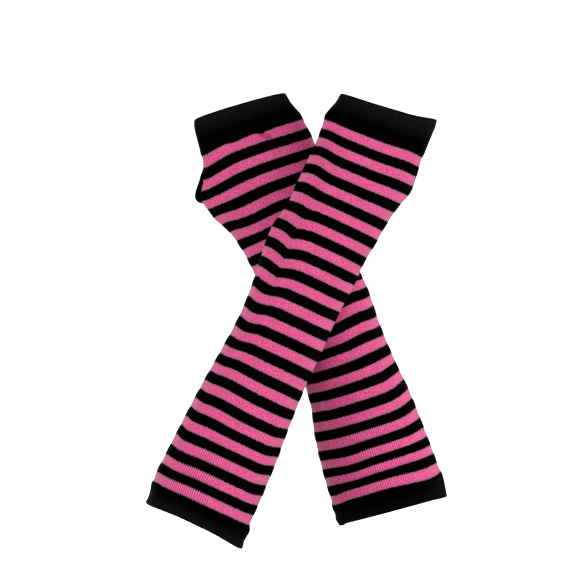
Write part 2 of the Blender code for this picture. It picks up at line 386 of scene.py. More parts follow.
# %% [markdown]
# ## Reading the tables
#
# Three functions read the tables for thousands of points at once. One draws a smooth curve through the
# sections, one adds up the large folds, and one the small creases.

# %% Read the sections, the folds and the creases
def row_at(rows, station):
    """All columns but the first of a table, read at stations from a smooth curve through its rows."""
    rows = np.array(rows, float)
    places = rows[:, 0]
    last = len(rows) - 1
    k = np.clip(np.searchsorted(places, station) - 1, 0, last - 1)
    before, after = np.maximum(k - 1, 0), np.minimum(k + 2, last)
    span = places[k + 1] - places[k]
    t = ((station - places[k]) / span)[:, None]
    slope_a = (rows[k + 1] - rows[before]) * (span / (places[k + 1] - places[before]))[:, None]
    slope_b = (rows[after] - rows[k]) * (span / (places[after] - places[k]))[:, None]
    curve = (
        rows[k] * (1 - t) ** 2 * (1 + 2 * t)
        + rows[k + 1] * t**2 * (3 - 2 * t)
        + slope_a * t * (1 - t) ** 2
        - slope_b * t**2 * (1 - t)
    )
    return curve[:, 1:].T


def turned_from(turn, start):
    """The shortest way round from start to turn, from -180 to 180 degrees."""
    return (turn - start + 180) % 360 - 180


def bumps(table, station, turn):
    """The sum of smooth round bumps: each row has its half sizes, and its height in the last column."""
    total = np.zeros_like(station)
    for place, middle, half_length, half_turn, height in table:
        distance = np.hypot((station - place) / half_length, turned_from(turn, middle) / half_turn)
        total += np.where(distance < 1, height * (0.5 + 0.5 * np.cos(np.pi * distance)), 0)
    return total


def crease_height(creases, station, turn):
    """Each crease is a trough or a ridge with low shoulders, fading towards both of its ends."""
    total = np.zeros_like(station)
    for place, middle, length, width, slant, height in creases:
        down = station - place
        round_it = turned_from(turn, middle) * DEGREE
        slant = math.radians(slant)
        along = (down * math.cos(slant) + round_it * math.sin(slant)) / (length / 2)
        across = (round_it * math.cos(slant) - down * math.sin(slant)) / (width / 2)
        fade = np.cos(np.clip(along, -1, 1) * math.pi / 2) ** 2
        total += height * fade * (1 - across**2 / 2) * np.exp(-(across**2) / 2)
    return total


widths = row_at(FRONT_SECTIONS, np.array([53.0, 190.0, 328.0]))[2]
print("front sleeve: palm {:.1f}, wrist {:.1f} and elbow end {:.1f} mm wide".format(*widths))

# %% [markdown]
# ## Laying cloth on the arm
#
# At each station the arm's form is a rounded oval. Cloth lies on it, or at a height above it along the
# oval's normal, and the folds and creases change that height. The sleeve's own directions then carry
# each point to its place.

# %% Lay cloth on the arm
def rounded(value, fullness):
    return np.sign(value) * np.abs(value) ** (2 / fullness)


def directions(warmer):
    """Unit vectors: along the axis to the elbow, across to the right, and towards the viewer."""
    tilt, swing = math.radians(warmer.tilt), math.radians(warmer.swing)
    across = np.array((math.cos(tilt), 0, -math.sin(tilt)))
    upright = np.array((-math.sin(tilt), 0, -math.cos(tilt)))
    axis = upright * math.cos(swing) + np.array((0, -math.sin(swing), 0))
    return axis, across, np.cross(axis, across)


def hand_centre(warmer):
    """The axis's start at the hand edge, placed so that the two tubes just clear each other."""
    axis = directions(warmer)[0]
    crossing = np.array([warmer.hand_z / -axis[2]])
    facing = np.array([float(warmer.facing)])
    depth = row_at(warmer.sections, crossing)[3]
    reach = depth / 2 + bumps(warmer.folds, crossing, facing) + CROSSING_GAP / 2
    crossing_y = (reach * math.sin(math.radians(warmer.facing)))[0]
    return np.array((warmer.hand_x, crossing_y - axis[1] * crossing[0], warmer.hand_z))


def worn(warmer, station, turn, out):
    """Where cloth lies on the arm, in metres, at arrays of stations, turns and heights above the form."""
    side, away, width, depth, fullness, lean, dip = row_at(warmer.sections, station)
    axis, across, toward = directions(warmer)
    cosine, sine = np.cos(np.radians(turn)), np.sin(np.radians(turn))
    dual = fullness / (fullness - 1)
    normal = np.array((rounded(cosine, dual) / width, rounded(sine, dual) / depth))
    normal /= np.hypot(*normal)
    out = out + bumps(warmer.folds, station, turn) + crease_height(warmer.creases, station, turn)
    right = width / 2 * rounded(cosine, fullness) + out * normal[0]
    near = depth / 2 * rounded(sine, fullness) + out * normal[1]
    down = station + right * np.tan(np.radians(lean)) + near * np.tan(np.radians(dip))
    parts = ((axis, down), (across, right + side), (toward, near - away))
    return (hand_centre(warmer) + sum(amount[:, None] * way for way, amount in parts)) * MM


for warmer in PAIR:
    place = worn(warmer, np.array([170.0]), np.array([90.0]), np.array([0.0]))[0]
    print(f"{warmer.name}: the middle of its near side is at", [round(value / MM) for value in place])

# %% [markdown]
# ## The stitches
#
# Plain knit is rows of loops. A column of loops is a wale, and a row of them is a course. The knitting
# machine changes yarn every six courses, so the stripes are all equal in the flat cloth, and only the arm
# pulls them wider here and narrower there. So the UV map counts stitches: u is the wale and v is the
# course, and each yarn's pattern is drawn on that. A table says where each stripe lies on the arm.

# %% The stitch counts
WALES = 136
STRIPE_COURSES = 12  # one pink stripe and one black one
STRIPE_LENGTH = 15.8  # the two together on the worn sleeve, on average
# Where each pink stripe begins, in millimetres from the hand edge, on the side that faces the viewer.
FRONT_STRIPES = (
    25.7, 40.3, 55.8, 71.6, 87.9, 104.0, 119.8, 135.4, 151.1, 167.0,
    183.6, 199.9, 216.4, 232.8, 249.2, 265.1, 280.2, 295.0, 310.8, 325.4,
)
BACK_STRIPES = (
    25.8, 41.8, 57.3, 73.1, 88.3, 104.4, 118.6, 131.8, 145.7, 158.8,
    174.2, 190.2, 204.6, 220.2, 235.3, 250.9, 266.0, 281.1, 294.8, 308.5,
)


def course_at(stripes, station):
    """The course at each station. Every pink stripe begins at a multiple of STRIPE_COURSES."""
    rows = [(place, count) for count, place in enumerate(stripes)]
    rows.insert(0, (stripes[0] - 2 * STRIPE_LENGTH, -2))
    rows.append((stripes[-1] + 2 * STRIPE_LENGTH, len(stripes) + 1))
    return row_at(rows, station)[0] * STRIPE_COURSES


for stripes in (FRONT_STRIPES, BACK_STRIPES):
    spacing = np.diff(course_at(stripes, np.array([100.0, 101.0])))[0]
    print(f"{len(stripes)} pink stripes, {1 / spacing:.2f} mm a course at the wrist")

# %% [markdown]
# ## Knitting a piece
#
# A knitting machine makes a straight tube. Here too each piece starts as an open cylinder, cut into rows
# along its length, with its wall made by Solidify while it is still straight. Only then is it pulled onto
# the arm: the script reads where each point is on the straight tube, writes the stitch counts to the UV
# map, and moves the point to the same place on the arm. The wall keeps its thickness on the way.

# %% A straight tube, its wall and its points
WALL = 1.6  # one layer of plain knit, stretched
KNIT_RADIUS = math.degrees(DEGREE)  # of the straight tube's outer face
TUBE_COLUMNS = 144
SAME_PLACE = 0.1  # millimetres apart, at most


def straight_tube(name, start, end, rows, columns, out=0.0, first_turn=0.0):
    """An open tube under the origin, whose first column of points lies at first_turn."""
    deselect_all()
    bpy.ops.mesh.primitive_cylinder_add(
        vertices=columns,
        radius=(KNIT_RADIUS + out) * MM,
        depth=(end - start) * MM,
        end_fill_type="NOTHING",
        location=(0, 0, -(start + end) / 2 * MM),
        rotation=(0, 0, -math.radians(first_turn)),
    )
    piece = bpy.context.object
    piece.name = piece.data.name = name
    place_kept_in_mesh(piece)
    edit(piece, "EDGE")
    pick(piece, "edges", lambda middle: abs(middle.z / MM + (start + end) / 2) < SAME_PLACE)
    bpy.ops.mesh.subdivide(number_cuts=rows - 1, quadcorner="STRAIGHT_CUT")
    bpy.ops.object.mode_set(mode="OBJECT")
    return piece


def thickened(piece, thickness):
    """Gives a straight tube its wall, inwards from its outer face."""
    select_only(piece)
    wall = piece.modifiers.new("wall", "SOLIDIFY")
    wall.thickness = thickness * MM
    wall.offset = -1
    wall.use_even_offset = True
    bpy.ops.object.modifier_apply(modifier=wall.name)


def points_of(piece):
    """x, y and z of each point, as arrays."""
    points = np.empty(len(piece.data.vertices) * 3, np.float32)
    piece.data.vertices.foreach_get("co", points)
    return points.reshape(-1, 3).T.astype(float)


def places_on_straight_tube(piece):
    """station, turn and out of each point, as arrays."""
    x, y, z = points_of(piece) / MM
    return -z, np.degrees(np.arctan2(-y, x)), np.hypot(x, y) - KNIT_RADIUS


def move_points(piece, points):
    piece.data.vertices.foreach_set("co", points.astype(np.float32).ravel())
    piece.data.update()


print(f"straight tube: {KNIT_RADIUS:.1f} mm in radius, {TUBE_COLUMNS} columns")

# %% [markdown]
# ## The thumb hole
#
# The maker leaves a slit in the side seam, which the thumb opens into an oval. A patch of faces is deleted
# from the straight tube, and the points round it are drawn from the square outline onto the oval, less
# and less with their distance from it. So the rows of points bend round the hole as the stitches do.

# %% Cut the thumb hole
THUMB_HALF_LENGTH = 13.5
THUMB_EASE = 1.45  # the rows are straight again at this many times the hole's half size


def cut_thumb_hole(piece, warmer):
    def beside_hole(place):
        return turned_from(math.degrees(math.atan2(-place.y, place.x)), warmer.thumb_turn)

    def in_hole(middle):
        down = middle.z / MM + warmer.thumb_station
        return abs(beside_hole(middle)) < warmer.thumb_half_turn and abs(down) < THUMB_HALF_LENGTH

    edit(piece, "FACE")
    pick(piece, "faces", in_hole)
    patch = [vert.co / MM for vert in bmesh.from_edit_mesh(piece.data).verts if vert.select]
    bpy.ops.mesh.delete(type="FACE")
    bpy.ops.object.mode_set(mode="OBJECT")

    tops = [-place.z for place in patch]
    sides = [beside_hole(place) for place in patch]
    station, turn, out = places_on_straight_tube(piece)
    beside = turned_from(turn, warmer.thumb_turn)
    across = beside / max(sides)
    down = (station - (max(tops) + min(tops)) / 2) / ((max(tops) - min(tops)) / 2)
    square, circle = np.maximum(abs(across), abs(down)), np.hypot(across, down)
    pull = np.clip((THUMB_EASE - square) / (THUMB_EASE - 1), 0, 1)
    oval_beside = warmer.thumb_half_turn * across * square / circle
    oval_station = warmer.thumb_station + THUMB_HALF_LENGTH * down * square / circle
    beside = beside * (1 - pull) + oval_beside * pull
    station = station * (1 - pull) + oval_station * pull
    angle = np.radians(warmer.thumb_turn + beside)
    radius = KNIT_RADIUS + out
    move_points(piece, np.stack((radius * np.cos(angle), -radius * np.sin(angle), -station), 1) * MM)
    print(f"{piece.name}: thumb hole {2 * THUMB_HALF_LENGTH:.0f} mm long")


# %% [markdown]
# ## Pulling a piece onto the arm
#
# Worn cloth creeps: here and there it has slipped up or down the arm, which bends the stripes. Where the
# arm stretches it most, the wales part and show as fine lines, mostly through painted light on their middles
# and painted shade at their edges. The black stripes stand a little proud of the pink ones, which shows as
# small steps along the edges of the sleeve. That relief is worked out from the course count, so it always
# falls on the stripes.

# %% Where the cloth has crept or is stretched most
# Columns: station, turn, half_length, half_turn, and how far the cloth has crept down the arm (above 0) or
# up it (below 0).
FRONT_CREEP = (
    (23, 49, 64, 36, -1.0),
    (61, 141, 50, 31, -2.2),
    (137, 122, 59, 26, 2.6),
    (138, 122, 52, 10, 1.0),
    (165, 5, 64, 51, -1.1),
    (182, 138, 64, 26, 2.4),
    (250, 127, 55, 52, -2.1),
    (264, 167, 64, 28, -2.7),
    (282, 11, 64, 39, -3.0),
    (311, 133, 50, 29, 0.9),
    (88, 250, 52, 44, 2.0),
    (176, 285, 60, 38, -1.8),
    (252, 236, 58, 46, 2.2),
)
BACK_CREEP = (
    (20, 48, 64, 52, 1.2),
    (25, 83, 6, 5, 2.8),
    (25, 76, 7, 9, 1.3),
    (25, 104, 7, 15, 1.3),
    (46, 151, 37, 52, 3.4),
    (95, 119, 64, 38, 2.3),
    (108, 112, 28, 52, -3.4),
    (177, 49, 64, 48, -2.4),
    (178, 1, 41, 41, -2.8),
    (247, 11, 64, 52, -3.4),
    (287, 120, 28, 31, 1.2),
    (312, 154, 14, 25, 1.5),
    (324, 45, 28, 52, 3.1),
    (72, 268, 48, 44, -2.1),
    (158, 244, 62, 40, 1.7),
    (236, 290, 56, 48, -1.9),
)
# The last column is how far the wales part where the arm stretches the knit most. At 1 and above they are
# fully open.
FRONT_OPEN = (
    (326, 112, 46, 44, 1.3),
    (296, 96, 38, 26, 0.5),
    (320, 250, 46, 48, 1.0),
)
BACK_OPEN = (
    (296, 88, 50, 50, 0.55),
    (262, 96, 38, 30, 0.2),
    (300, 262, 46, 50, 0.7),
)
OPEN_WALES = {"front": FRONT_OPEN, "back": BACK_OPEN}
STRIPES = {"front": (FRONT_STRIPES, FRONT_CREEP), "back": (BACK_STRIPES, BACK_CREEP)}
print(f"{len(FRONT_CREEP) + len(BACK_CREEP)} places where the cloth has crept")

# %% Count the stitches on the arm
GRID_STEP = 4.0
GRID_TURN = 2.0


def elbow_edge(warmer):
    return warmer.sections[-1][0]


def way_round(warmer):
    """A grid of how far round the cloth each turn lies, from 0 to 1."""
    stations = np.arange(0, elbow_edge(warmer) + GRID_STEP, GRID_STEP)
    turns = np.arange(0, 360 + GRID_TURN, GRID_TURN)
    at_station, at_turn = (grid.ravel() for grid in np.meshgrid(stations, turns, indexing="ij"))
    points = worn(warmer, at_station, at_turn, np.zeros_like(at_turn)).reshape(len(stations), len(turns), 3)
    steps = np.linalg.norm(np.diff(points, axis=1), axis=2)
    shares = np.cumsum(steps, axis=1) / steps.sum(axis=1, keepdims=True)
    return np.hstack((np.zeros((len(stations), 1)), shares))


WAYS_ROUND = {warmer.name: way_round(warmer) for warmer in PAIR}


def stitches(warmer, station, turn):
    """The wale and the course at each point. The wales are spread evenly over the real way round the arm."""
    shares = WAYS_ROUND[warmer.name]
    row, column = station / GRID_STEP, turn % 360 / GRID_TURN
    i = np.clip(row.astype(int), 0, len(shares) - 2)
    j = np.clip(column.astype(int), 0, shares.shape[1] - 2)
    down, across = row - i, column - j
    near = shares[i, j] * (1 - across) + shares[i, j + 1] * across
    far = shares[i + 1, j] * (1 - across) + shares[i + 1, j + 1] * across
    stripes, creep = STRIPES[warmer.name]
    return (near * (1 - down) + far * down) * WALES, course_at(stripes, station - bumps(creep, station, turn))


for warmer in PAIR:
    last_course = stitches(warmer, np.array([elbow_edge(warmer)]), np.array([90.0]))[1][0]
    print(f"{warmer.name}: {last_course:.0f} courses from the first pink stripe to the elbow")

# %% Raise the black yarn
PINK_SHARE = 0.475  # of a stripe's courses; black loops cover the rest
BLACK_PROUD = 0.4
HEM_PROUD = 1.2  # of the turned hems, and of the plain black knit that leads to them
HEM_STEP = 0.06  # stripe repeats in which the black knit rises to a hem
FLAT_TOP = 6  # the higher this power, the flatter a stripe's bump


def black_relief(course, pink_stripes):
    """How far the black stands out: a flat-topped bump over each stripe, and a step up to each hem."""
    repeat = course / STRIPE_COURSES
    through_black = np.clip((repeat % 1 - PINK_SHARE) / (1 - PINK_SHARE), 0, 1)
    stripe = BLACK_PROUD * (1 - (2 * through_black - 1) ** FLAT_TOP)
    beyond = np.maximum(-repeat, repeat - (pink_stripes - 1 + PINK_SHARE))
    step = HEM_PROUD * np.clip(beyond / HEM_STEP, 0, 1) ** 0.5
    return np.where(beyond > 0, step, stripe)


print(f"a black stripe covers {(1 - PINK_SHARE) * STRIPE_COURSES:.1f} courses")

# %% Write what the yarn reads, and pull the tube on
CREASE_SHADE_DEPTHS = (0.7, 2.2)  # trough depths in millimetres at which painted shade begins to darken the yarn, and is full
OUTER_FACE = -WALL / 2  # points above this height belong to the outer face


def write_stitch_map(piece, wale, course):
    """Writes each corner's stitch counts to the UV map, unwrapped so that no face spans the whole tube."""
    mesh = piece.data
    corner = np.empty(len(mesh.loops), np.int32)
    mesh.loops.foreach_get("vertex_index", corner)
    starts = np.empty(len(mesh.polygons), np.int32)
    mesh.polygons.foreach_get("loop_start", starts)
    sizes = np.diff(np.append(starts, len(corner)))
    u, v = wale[corner], course[corner]
    first = np.repeat(u[starts], sizes)
    u += WALES * np.round((first - u) / WALES)
    for layer in list(mesh.uv_layers):
        mesh.uv_layers.remove(layer)
    mesh.uv_layers.new(name="stitches").data.foreach_set("uv", np.stack((u, v), 1).astype(np.float32).ravel())


def write_number(piece, name, values):
    """Writes one number for each point, for the yarn to read."""
    piece.data.attributes.new(name, "FLOAT", "POINT").data.foreach_set("value", values.astype(np.float32))


def pull_on(piece, warmer):
    """Moves a striped tube onto the arm's form, and counts its stitches."""
    station, turn, out = places_on_straight_tube(piece)
    wale, course = stitches(warmer, station, turn)
    write_stitch_map(piece, wale, course)
    write_number(piece, "open_wales", np.clip(bumps(OPEN_WALES[warmer.name], station, turn), 0, 1))
    # Painted shade: the deeper a crease's trough, the more its yarn is darkened towards the deep pink.
    trough = -crease_height(warmer.creases, station, turn)
    write_number(piece, "painted_crease_shade", np.clip((trough - CREASE_SHADE_DEPTHS[0]) / (CREASE_SHADE_DEPTHS[1] - CREASE_SHADE_DEPTHS[0]), 0, 1))
    relief = black_relief(course, len(STRIPES[warmer.name][0]))
    move_points(piece, worn(warmer, station, turn, out + np.where(out > OUTER_FACE, relief, 0)))
    piece.data.shade_smooth()
    print(f"{piece.name}: {len(piece.data.polygons)} faces")


# %% [markdown]
# ## The two striped tubes
#
# Each tube runs from the hand hem to the elbow hem. Its rows are about a millimetre apart, which is as
# fine as the small creases and the stripes' relief need.

# %% Knit both tubes
SEAM_GAP = 0.02
HAND_HEM = 22.5
ELBOW_HEM = 15.0

tubes = {}
for warmer in PAIR:
    start, end = HAND_HEM + SEAM_GAP, elbow_edge(warmer) - ELBOW_HEM - SEAM_GAP
    name, rows = f"{warmer.name}_striped_tube", round(end - start)
    tube = straight_tube(name, start, end, rows, TUBE_COLUMNS, first_turn=warmer.thumb_turn)
    cut_thumb_hole(tube, warmer)
    thickened(tube, WALL)
    pull_on(tube, warmer)
    tubes[warmer.name] = tube

# %% [markdown]
# ## The hems
#
# Each end is turned in and sewn down, so a hem is two layers thick, with a soft rolled edge. It is a
# straight tube again, whose four rims are bevelled round before it is pulled on. Near the open edge the
# elastic draws it into small ripples, uneven round the arm.

# %% Where the hems ripple, reach and bulge
# Columns: the count of ripples round the arm, the turn where they start, and their height at the edge.
HAND_RIPPLES = ((5, 20, 0.25), (13, 75, 0.12))
ELBOW_RIPPLES = ((7, 40, 0.35), (17, 5, 0.18), (29, 130, 0.08))
RIPPLE_REACH = 9.0  # how far from the open edge they fade out
# The last column is how far the open edge reaches towards the elbow.
HEM_CREEP = {
    ("front", "hand"): ((0, 20, 20, 60, -2.0), (0, 100, 20, 80, -0.6), (0, 200, 20, 70, -0.8)),
    ("back", "hand"): ((0, 90, 20, 110, -0.4), (0, 200, 20, 50, 0.5)),
    ("front", "elbow"): ((349.5, 18, 14, 62, 2.0), (349.5, 165, 14, 66, 1.9), (349.5, 270, 14, 60, 0.8)),
    ("back", "elbow"): ((334.5, 30, 14, 60, 0.9), (334.5, 112, 14, 40, -0.9), (334.5, 168, 14, 30, 1.3)),
}
# The last column is how far the hem bulges.
HEM_BULGES = {
    ("front", "hand"): ((0, 5, 6, 50, -0.7), (12, 230, 9, 60, 0.6)),
    ("back", "hand"): ((0, 180, 6, 50, -1.0), (14, 0, 16, 45, 0.8), (9, 300, 9, 50, 0.6)),
    ("front", "elbow"): (
        (341, 172, 5, 50, -0.5), (348.5, 168, 4, 40, 1.0), (337, 8, 5, 40, 0.8),
        (344, 4, 3, 30, -0.6), (342, 300, 5, 60, 0.8),
    ),
    ("back", "elbow"): ((324, 170, 4, 40, -0.5), (329, 168, 5, 40, 0.8), (327, 240, 6, 60, 0.8)),
}
# How much painted highlight lightens the open edge of each hem, from 0 to 1.
HEM_EDGE_HIGHLIGHT = {
    ("front", "hand"): 1.0, ("back", "hand"): 0.95, ("front", "elbow"): 0.8, ("back", "elbow"): 0.34
}
print(f"{len(HEM_EDGE_HIGHLIGHT)} hems")

# %% Make a hem at each end
HEM_WALL = 2.8
HEM_COLUMNS = 216
HEM_ROWS = 1.5  # for each millimetre of its depth
OPEN_ROLL = 1.35  # radius of its rolled open edge
SEAM_ROLL = 0.35
ROLL_SEGMENTS = 4
HIGHLIGHT_SHARE = 0.65  # of the hem's depth, in which the painted highlight fades out
HIGHLIGHT_EDGE = 1.1  # above 1, so that the painted highlight is full for a little way in


def ripple_height(ripples, from_edge, turn):
    fade = np.clip(1 - from_edge / RIPPLE_REACH, 0, 1) ** 2
    waves = (height * np.cos(np.radians((turn - start) * count)) for count, start, height in ripples)
    return fade * sum(waves)


def make_hem(warmer, end, first, last, open_edge, ripples):
    """A turned hem from first to last; open_edge says which of the two is the free one."""
    name, rows = f"{warmer.name}_{end}_hem", round(HEM_ROWS * (last - first))
    hem = straight_tube(name, first, last, rows, HEM_COLUMNS, out=HEM_PROUD)
    thickened(hem, HEM_WALL)
    wall_middle = KNIT_RADIUS + HEM_PROUD - HEM_WALL / 2
    for rim in (first, last):
        def round_rim(middle):
            """Takes the rim's two rings and leaves the short edges across the wall."""
            in_wall = abs(middle.xy.length / MM - wall_middle) < HEM_WALL / 4
            return abs(middle.z / MM + rim) < SAME_PLACE and not in_wall

        roll = OPEN_ROLL if rim == open_edge else SEAM_ROLL
        edit(hem, "EDGE")
        pick(hem, "edges", round_rim)
        bpy.ops.mesh.bevel(offset=roll * MM, segments=ROLL_SEGMENTS)
        bpy.ops.object.mode_set(mode="OBJECT")

    station, turn, out = places_on_straight_tube(hem)
    write_stitch_map(hem, *stitches(warmer, station, turn))
    # Painted highlight: lighter at the open edge, fading inwards.
    from_edge = abs(station - open_edge)
    fade = np.clip(HIGHLIGHT_EDGE - from_edge / (HIGHLIGHT_SHARE * (last - first)), 0, 1)
    write_number(hem, "painted_edge_highlight", HEM_EDGE_HIGHLIGHT[warmer.name, end] * fade)
    out += ripple_height(ripples, from_edge, turn) + bumps(HEM_BULGES[warmer.name, end], station, turn)
    station += bumps(HEM_CREEP[warmer.name, end], station, turn)
    move_points(hem, worn(warmer, station, turn, out))
    hem.data.shade_smooth()
    print(f"{hem.name}: {len(hem.data.polygons)} faces")
    return hem


hems = {}
for warmer in PAIR:
    edge = elbow_edge(warmer)
    hems[warmer.name, "hand"] = make_hem(warmer, "hand", 0.0, HAND_HEM, 0.0, HAND_RIPPLES)
    hems[warmer.name, "elbow"] = make_hem(warmer, "elbow", edge - ELBOW_HEM, edge, edge, ELBOW_RIPPLES)

# %% [markdown]
# ## The thumb binding
#
# A narrow black band is folded over the thumb hole's raw edge and stitched. A torus is the natural start:
# each of its rings is moved to its place on the oval rim, flattened a little to a band.

# %% The band's sizes
BINDING_GAP = 0.15
BINDING_WIDTH = 2.4  # from the cloth's edge towards the hole's middle
BINDING_THICKNESS = 3.0
BINDING_RINGS = 96
BINDING_CORNERS = 14
BINDING_STITCH = 2.0
STITCH_DRAWS = 0.06  # share of its thickness that each stitch draws in
SIXTH_TURN = 60.0  # degrees round the band in one course of its yarn
TORUS_BAND = 0.25  # minor radius of the torus, for a major one of 1
# How far the thumb has pushed the band out, on the side of the hole's middle.
BINDING_FLARE = {
    "front": ((50, -30, 14, 26, 0.6),),
    "back": ((50, 176, 26, 60, 4.6), (59, 190, 8, 40, 0.5)),
}
print(f"binding {BINDING_WIDTH} mm wide and {BINDING_THICKNESS} mm thick")

# %% Bind the thumb holes
def unit(vectors):
    return vectors / np.linalg.norm(vectors, axis=1)[:, None]


def bind_thumb_hole(warmer):
    way = np.radians(np.arange(BINDING_RINGS) * 360 / BINDING_RINGS)
    station = warmer.thumb_station + THUMB_HALF_LENGTH * np.sin(way)
    turn = warmer.thumb_turn + warmer.thumb_half_turn * np.cos(way)
    middle = worn(warmer, station, turn, np.full_like(way, -WALL / 2))
    normal = unit(worn(warmer, station, turn, np.zeros_like(way)) - middle)
    along = np.roll(middle, -1, 0) - np.roll(middle, 1, 0)
    inward = unit(np.cross(along, normal))
    if np.sum(inward * (middle.mean(0) - middle)) < 0:
        inward = -inward
    rim_length = np.linalg.norm(along, axis=1).sum() / 2 / MM

    deselect_all()
    bpy.ops.mesh.primitive_torus_add(
        major_segments=BINDING_RINGS, minor_segments=BINDING_CORNERS, major_radius=1, minor_radius=TORUS_BAND
    )
    binding = bpy.context.object
    binding.name = binding.data.name = f"{warmer.name}_thumb_binding"
    x, y, z = points_of(binding)
    ring = np.round(np.degrees(np.arctan2(y, x)) * BINDING_RINGS / 360).astype(int) % BINDING_RINGS
    from_middle, height = (1 - np.hypot(x, y)) / TORUS_BAND, z / TORUS_BAND
    count = round(rim_length / BINDING_STITCH)
    stitched = 1 - STITCH_DRAWS * np.cos(2 * np.pi * ring * count / BINDING_RINGS)
    reach = BINDING_GAP + BINDING_WIDTH / 2 * (1 + from_middle)
    flare = bumps(BINDING_FLARE[warmer.name], station, turn)[ring]
    lift = BINDING_THICKNESS / 2 * height * stitched + flare * (1 + from_middle) / 2
    round_section = np.degrees(np.arctan2(height, from_middle))
    write_stitch_map(binding, ring * rim_length / BINDING_RINGS, round_section / SIXTH_TURN)
    move_points(binding, middle[ring] + (inward[ring] * reach[:, None] + normal[ring] * lift[:, None]) * MM)
    edit(binding, "FACE")
    bpy.ops.mesh.select_all(action="SELECT")
    bpy.ops.mesh.normals_make_consistent(inside=False)
    bpy.ops.object.mode_set(mode="OBJECT")
    binding.data.shade_smooth()
    print(f"{binding.name}: {rim_length:.0f} mm round")
    return binding


bindings = {warmer.name: bind_thumb_hole(warmer) for warmer in PAIR}

# %% [markdown]
# ## The yarn
#
# The yarn is acrylic with a little elastane: matt, soft and slightly hairy. A loop shows as a V, so the
# edge between two yarns is not a line but a row of small teeth, one for each wale. The hairs catch light
# from the side, which makes the cloth paler where it turns away; Blender calls that sheen. The shade
# between the loops is painted into the colour as a mottle, which mixes random tone with painted shade and
# painted highlight.

# %% The yarn's colours, and the start of its material
# The deep and the pale pink carry the yarn's tone plus painted shade between the loops and painted highlight
# on them.
PINK = "#ED5392"
PINK_DEEP_SHADE = "#CA3971"
PINK_PALE_HIGHLIGHT = "#FA74AB"
BLACK = "#020001"


def linear(hex_colour):
    """An sRGB hex colour as the linear numbers that Blender works in."""
    channels = (int(hex_colour[i : i + 2], 16) / 255 for i in (1, 3, 5))
    return (*(c / 12.92 if c <= 0.04045 else ((c + 0.055) / 1.055) ** 2.4 for c in channels), 1.0)


def start_yarn(name):
    """A material without its shader yet, and the stitch map that it reads."""
    material = bpy.data.materials.new(name)
    material.use_nodes = True
    material.node_tree.nodes.remove(material.node_tree.nodes["Principled BSDF"])
    return material, add(material, "UVMap", uv_map="stitches")


print("pink as linear numbers:", [round(value, 3) for value in linear(PINK)[:3]])

# %% [markdown]
# ## The loops
#
# The loops are drawn from the stitch counts. In each wale two legs lean together, so the course that a
# point belongs to drops away from the wale's middle on both sides. A wale is 1.5 to 1.8 mm wide and a
# course 1.3 mm high, so the yarn reads as fine grain, and as V shapes only from close by.

# %% Draw the loops
LEG_LEAN = 0.6  # courses that a leg climbs from the wale's edge to its middle
OPEN_LEAN = 1.3  # the same where the wales are open
WALE_EDGE, WALE_MIDDLE = -0.5, 0.42  # numbers for the places across a wale
COURSE_SHARE = 0.25  # height of a course's ridge beside that of a leg
LOOP_RELIEF = 0.25


def knit_relief(material, uv):
    """Adds the loops: how far the wales are open, the place across one, the bent course, the height."""
    opened = add(material, "Attribute", attribute_name="open_wales").outputs["Fac"]
    counts = add(material, "SeparateXYZ", {0: uv})
    from_edge = add(material, "Math", {0: counts.outputs["X"], 1: 0.5}, operation="PINGPONG")
    spread = {"Value": from_edge, "From Max": 0.5, "To Min": WALE_EDGE, "To Max": WALE_MIDDLE}
    across = add(material, "MapRange", spread)
    lean_by = add(material, "MapRange", {"Value": opened, "To Min": LEG_LEAN, "To Max": OPEN_LEAN})
    leaning = {0: across, 1: lean_by, 2: counts.outputs["Y"]}
    bent = add(material, "Math", leaning, operation="MULTIPLY_ADD")
    leg_turn = add(material, "Math", {0: from_edge, 1: math.tau}, operation="MULTIPLY")
    leg = add(material, "Math", {0: leg_turn}, operation="SINE")
    course_turn = add(material, "Math", {0: bent, 1: math.tau}, operation="MULTIPLY")
    ridge = add(material, "Math", {0: course_turn}, operation="COSINE")
    height = add(material, "Math", {0: ridge, 1: COURSE_SHARE, 2: leg}, operation="MULTIPLY_ADD")
    return opened, across, bent, height


print(f"loops {LOOP_RELIEF} mm deep")

# %% Finish a yarn
SHEEN_ROUGHNESS = 0.4


def finish_yarn(material, loops, surface, strength):
    """Raises the loops and gives the yarn its colour, its gloss and the sheen of its hairs."""
    bump = add(material, "Bump", {"Height": loops, "Distance": LOOP_RELIEF * MM, "Strength": strength})
    shader = add(material, "BsdfPrincipled", {**surface, "Sheen Roughness": SHEEN_ROUGHNESS, "Normal": bump})
    output = material.node_tree.nodes["Material Output"]
    material.node_tree.links.new(shader.outputs[0], output.inputs["Surface"])
    print(f"{material.name}: {len(material.node_tree.nodes)} nodes")


print(f"sheen roughness {SHEEN_ROUGHNESS}")

# %% [markdown]
# ## Striped plain knit in acrylic yarn
#
# The stripe is read from the bent course, so it gets its teeth for free. Dyed acrylic is a strong, even
# pink. What varies it is partly the knitting and partly painted light: painted light on a wale's middle
# and painted shade at its edges, a mottle from loop to loop that mixes random tone with painted shade and
# highlight, wider patches, and duller loops where the two yarns meet. To the eye that is a matt, slightly
# fuzzy cloth.

# %% Lay out the stripes
UNEVEN_COURSES = 0.5  # by which a stripe's edge wanders
UNEVEN_SCALE = 0.9  # spots in one wale
CHANGE_SHARE = 0.01  # of a repeat, on either side of where pink turns black

